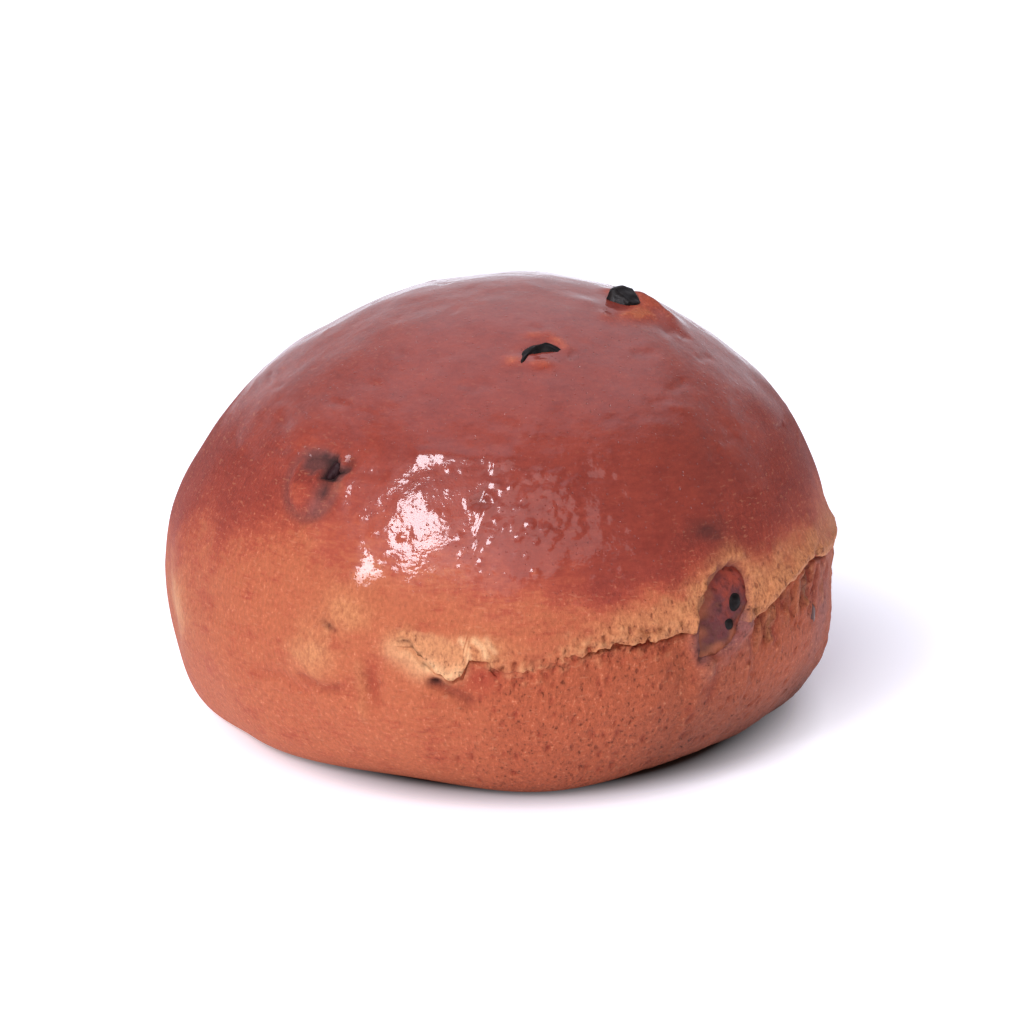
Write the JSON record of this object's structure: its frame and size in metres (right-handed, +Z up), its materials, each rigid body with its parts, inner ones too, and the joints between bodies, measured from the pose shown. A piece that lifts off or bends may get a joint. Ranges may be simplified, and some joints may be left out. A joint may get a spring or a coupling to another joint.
{
  "type": "chocolate prune roll",
  "caption": "Domed sweet roll with a glossy red-brown crust, torn along one side, with dark chocolate and prune pieces breaking through; rests on its flat base.",
  "frame": {"origin": "centre of the flat base, under the middle of the roll's outline", "axes": "+Z up through the dome, -Y towards the torn front that the picture shows, +X to its right"},
  "size_m": [0.0988, 0.092, 0.0643],
  "materials": {
    "baked_crust": "egg-washed and glossy on the dome, matte and porous on the wall below the tear",
    "dark_chocolate": "near-black, softly glossy where it melted",
    "prune": "brown-purple, smooth and a little moist"
  },
  "bodies": {
    "root": {"bun": "baked_crust", "chocolate_chunk_top": "dark_chocolate", "chocolate_sliver_top": "dark_chocolate", "chocolate_bit_upper": "dark_chocolate", "chocolate_bit_lower": "dark_chocolate", "chocolate_bit_side": "dark_chocolate", "chocolate_chunk_back": "dark_chocolate", "prune_piece_left": "prune", "prune_piece_right": "prune", "prune_piece_back": "prune"}
  },
  "joints": []
}
